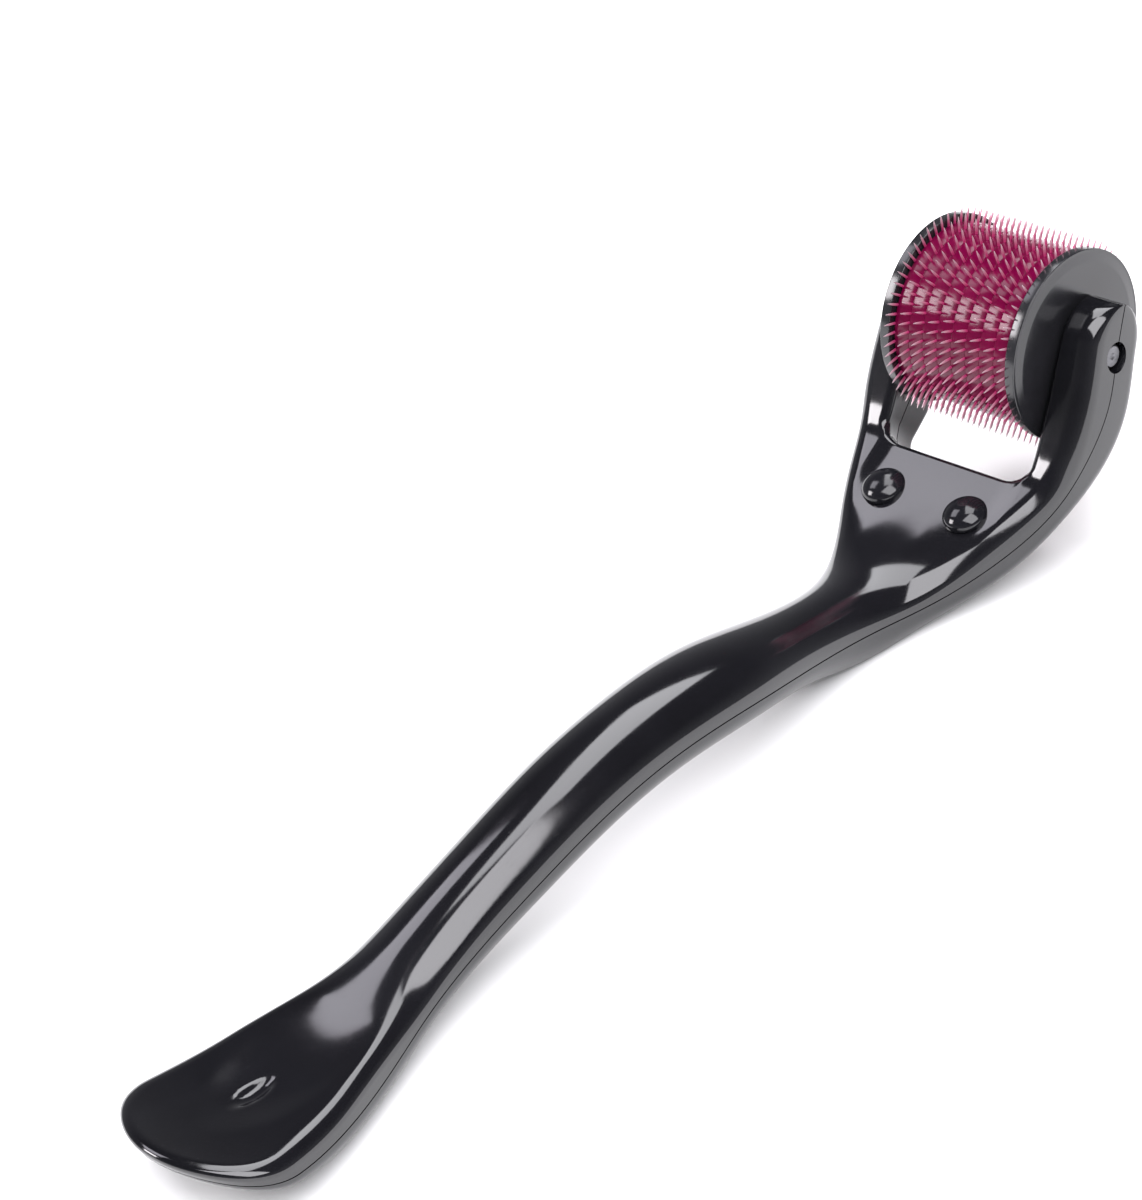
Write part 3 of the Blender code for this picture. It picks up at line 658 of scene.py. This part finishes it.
addPiece("axle_rod", *axleMesh(), axleSteel, "handle", ["axle"], merge=True)
print("axle made")


roller = {
    "ringCount": 9,   # rings of needles
    "pitch": 1.84,
    "drumRadius": 9.3,
    "ringBore": 6.9,
    "ringGap": 0.06,   # between a disc and the ring beside it
    "discThickness": 0.2,
    "discSegments": 120,
    "segments": 160,
}
needle = {"perDisc": 60, "root": 8.8, "tip": 11.0, "width": 0.16, "thickness": 0.14, "point": 0.02,
          "collar": 0.15, "sides": 6}
# How far out each of a needle's sections sits, and its share of the full width.
needleShares = np.array([0.0, 0.45, 0.75, 0.93, 1.0])
needleTaper = np.array([1.0, 0.92, 0.68, 0.3, needle["point"] / needle["width"]])
ringLip = {"depth": 0.22, "gap": 0.01, "rounding": (0.1, 0.03, 0.03, 0.05, 0.05, 0.03, 0.03, 0.1), "steps": 4}
cap = {"radius": 10.0, "rim": 8.68, "dome": 0.3, "hub": 1.6, "gap": 0.08, "rimWidth": 0.32, "shoulder": 1.28,
       "face": 0.16, "swellAt": 0.55, "swell": 0.1, "hubSlope": 0.9, "segments": 192,
       "rounding": (0.05, 0.12, 0.1, 0.08, 0.14, 1.2, 0.3, 0.1)}


def spacerRingMesh(index):
    # Ring whose outer lips close over the needle discs beside it, turned about the axle.
    middle = (index - (roller["ringCount"] - 2) / 2) * roller["pitch"]
    half = (roller["pitch"] - roller["discThickness"]) / 2 - roller["ringGap"]
    bore, outer = roller["ringBore"], roller["drumRadius"]
    wide = roller["pitch"] / 2 - ringLip["gap"]
    under = needle["root"] + ringLip["depth"]
    corners = [(bore, -half), (under, -half), (under, -wide), (outer, -wide), (outer, wide), (under, wide),
               (under, half), (bore, half)]
    profile = roundedProfile(corners, ringLip["rounding"], ringLip["steps"])
    return turnedPoints(profile + (0, middle), roller["segments"])


def needleDiscMesh(index):
    # Thin turned ring with straight needles around it. A needle's surface is its distance from the axle along
    # the spoke, plus cosine and sine of the section's angle times its width, thickness and taper.
    n = needle
    middle = (index - (roller["ringCount"] - 1) / 2) * roller["pitch"]
    low, high = middle - roller["discThickness"] / 2, middle + roller["discThickness"] / 2
    bore, outer = roller["ringBore"], n["root"] + n["collar"]
    ring, ringQuads = turnedPoints([(bore, low), (outer, low), (outer, high), (bore, high)],
                                   roller["discSegments"])
    turn = 2 * np.pi * (np.arange(n["perDisc"]) + 0.5 + 0.5 * (index % 2)) / n["perDisc"]
    reach = n["root"] + (n["tip"] - n["root"]) * needleShares
    section = np.linspace(0, 2 * np.pi, n["sides"], endpoint=False) + np.pi / n["sides"]
    out = np.stack([np.cos(turn), 0 * turn, np.sin(turn)], -1)[:, None, None]
    around = np.stack([-np.sin(turn), 0 * turn, np.cos(turn)], -1)[:, None, None]
    side = np.array([0.0, 1.0, 0.0])
    spread = (n["width"] * np.cos(section)[None, None, :, None] * around
              + n["thickness"] * np.sin(section)[None, None, :, None] * side)
    points = out * reach[None, :, None, None] + spread * needleTaper[None, :, None, None] + middle * side
    perNeedle = len(needleShares) * n["sides"]
    quads = gridQuads(len(needleShares), n["sides"], True)
    lids = np.array([[0, 1, 2, 3], [0, 3, 4, 5]])
    lids = np.concatenate([lids, lids[:, ::-1] + perNeedle - n["sides"]])
    one = np.concatenate([quads, lids])
    starts = len(ring) + np.arange(n["perDisc"])[:, None, None] * perNeedle
    faces = np.concatenate([ringQuads, (one[None] + starts).reshape(-1, 4)])
    return np.concatenate([ring, points.reshape(-1, 3)]), faces


def endCapMesh(side):
    # Disc with a thin rim, a sloping shoulder and a shallow domed face, turned about the axle.
    c = cap
    start = (roller["ringCount"] - 1) / 2 * roller["pitch"] + roller["discThickness"] / 2 + c["gap"]
    hub, radius, rim = c["hub"], c["radius"], c["rim"]
    face = rim + c["face"]
    corners = [(hub, start), (radius, start), (radius, rim), (radius - c["rimWidth"], rim),
               (radius - c["shoulder"], face), (radius * c["swellAt"], face + c["swell"]),
               (hub + c["hubSlope"], rim + c["dome"]), (hub, rim + c["dome"])]
    profile = roundedProfile(corners, c["rounding"])
    return turnedPoints(profile * (1, side), c["segments"])


for index in range(roller["ringCount"] - 1):
    addPiece(f"spacer_ring_{index + 1}_gloss", *spacerRingMesh(index), ringMagenta, "roller",
             [f"spacer_ring_{index + 1}"], merge=True)
for index in range(roller["ringCount"]):
    addPiece(f"needle_disc_{index + 1}_needles", *needleDiscMesh(index), needleSteel, "roller",
             [f"needle_disc_{index + 1}"], 50, True)
for side, name in ((1, "left"), (-1, "right")):
    addPiece(name + "_end_cap_disc", *endCapMesh(side), capBlack, "roller", [name + "_end_cap"], 30, True)
core = frame["nodes"]["drum_core"]
for slot in core.material_slots:
    slot.material = corePlastic
print("roller made")


studio = {
    "floorSize": 6.0,
    "floorColor": (0.9, 0.9, 0.9),
    "floorRoughness": 0.9,
    "floorSpecular": 0.1,
    "mirrorLow": (0.34, 0.34, 0.36),   # what gloss sees near the horizon
    "mirrorHigh": (0.02, 0.02, 0.022),   # and overhead
    "mirrorRise": 0.55,   # height at which it is darkest
    "ambient": (0.8, 0.8, 0.81),   # what lights the floor and the dull surfaces
    "backdrop": (1.0, 1.0, 1.0),
    "boxDistance": 2.0,
    # name: direction from the object, direction of its long side, angles it spans, radiance, colour
    "boxes": {
        "front_box": ((-0.14, -0.442, 0.884), (1, 0, 0), (38, 57), 6.5, (0.97, 0.96, 1.0)),
        "overhead_box": ((0.413, 0.248, 0.876), (0.83, 0.556, 0), (41, 22), 5.5, (0.96, 0.96, 1.0)),
        "rear_box": ((-0.012, 0.653, 0.757), (1, 0, 0), (21, 16), 4.2, (0.93, 0.91, 1.0)),
        "side_box": ((-0.538, 0.65, 0.536), (-0.7, 0, -0.7), (21, 15), 15.0, (1.0, 0.96, 0.99)),
    },
}


def addFloor():
    # Large flat floor at the height of the resting surface.
    half = studio["floorSize"] / 2
    mesh = bpy.data.meshes.new("floor")
    corners = [(-half, -half, 0), (half, -half, 0), (half, half, 0), (-half, half, 0)]
    mesh.from_pydata(corners, [], [(0, 1, 2, 3)])
    floor = bpy.data.objects.new("floor", mesh)
    bpy.context.scene.collection.objects.link(floor)
    material = bpy.data.materials.new("floor_pale")
    material.use_nodes = True
    shader = material.node_tree.nodes["Principled BSDF"]
    shader.inputs["Base Color"].default_value = (*studio["floorColor"], 1)
    shader.inputs["Roughness"].default_value = studio["floorRoughness"]
    shader.inputs["Specular IOR Level"].default_value = studio["floorSpecular"]
    mesh.materials.append(material)


def addSky():
    # World in three parts: a dark gradient for reflections, a pale light for dull surfaces, a white backdrop.
    world = bpy.data.worlds.new("studio")
    bpy.context.scene.world = world
    world.use_nodes = True
    tree = world.node_tree
    link = tree.links.new
    where = addNode(tree, "ShaderNodeTexCoord", (-900, 0))
    split = addNode(tree, "ShaderNodeSeparateXYZ", (-700, 0))
    link(where.outputs["Generated"], split.inputs[0])
    rise = addNode(tree, "ShaderNodeMapRange", (-500, 0), From_Min=0.0, From_Max=studio["mirrorRise"])
    link(split.outputs["Z"], rise.inputs["Value"])
    path = addNode(tree, "ShaderNodeLightPath", (-500, 300))
    last = studio["mirrorLow"]
    for factor, color, x in ((rise.outputs["Result"], studio["mirrorHigh"], -300),
                             (path.outputs["Is Diffuse Ray"], studio["ambient"], -100),
                             (path.outputs["Is Camera Ray"], studio["backdrop"], 100)):
        mix = addNode(tree, "ShaderNodeMix", (x, 0), data_type="RGBA")
        link(factor, mix.inputs["Factor"])
        mix.inputs[7].default_value = (*color, 1)
        if isinstance(last, tuple):
            mix.inputs[6].default_value = (*last, 1)
        else:
            link(last, mix.inputs[6])
        last = mix.outputs[2]
    link(last, tree.nodes["Background"].inputs["Color"])


def addBoxes():
    # Soft area lights at one distance: a side is twice the distance times the tangent of half its angle, and
    # the power is radiance times pi times the area.
    far = studio["boxDistance"]
    for name, (direction, along, angles, radiance, color) in studio["boxes"].items():
        light = bpy.data.lights.new(name, "AREA")
        light.shape = "RECTANGLE"
        light.size, light.size_y = (2 * far * math.tan(math.radians(angle / 2)) for angle in angles)
        light.energy = radiance * math.pi * light.size * light.size_y
        light.color = color
        box = bpy.data.objects.new(name, light)
        bpy.context.scene.collection.objects.link(box)
        back = Vector(direction).normalized()
        right = (Vector(along) - back * back.dot(Vector(along))).normalized()
        box.location = back * far
        box.rotation_euler = Matrix((right, back.cross(right), back)).transposed().to_euler()


camera = {"place": (-0.17335, -0.2166, 0.2197), "azimuth": -37.51, "elevation": 35.05, "roll": -14.66,
          "lens": 108.32}


def addCamera():
    # Camera from its place, the direction it looks from and its roll; the long side of the view is 36 mm.
    a, e, r = (math.radians(camera[key]) for key in ("azimuth", "elevation", "roll"))
    back = Vector((math.sin(a) * math.cos(e), -math.cos(a) * math.cos(e), math.sin(e)))
    right = Vector((0, 0, 1)).cross(back).normalized()
    up = back.cross(right)
    turnedRight = math.cos(r) * right + math.sin(r) * up
    turnedUp = -math.sin(r) * right + math.cos(r) * up
    data = bpy.data.cameras.new("view")
    data.lens = camera["lens"]
    data.clip_start = 0.01
    eye = bpy.data.objects.new("view", data)
    bpy.context.scene.collection.objects.link(eye)
    eye.location = camera["place"]
    eye.rotation_euler = Matrix((turnedRight, turnedUp, back)).transposed().to_euler()
    bpy.context.scene.camera = eye


addFloor()
addSky()
addBoxes()
addCamera()
bpy.context.scene.view_settings.view_transform = "Standard"
print("studio made")
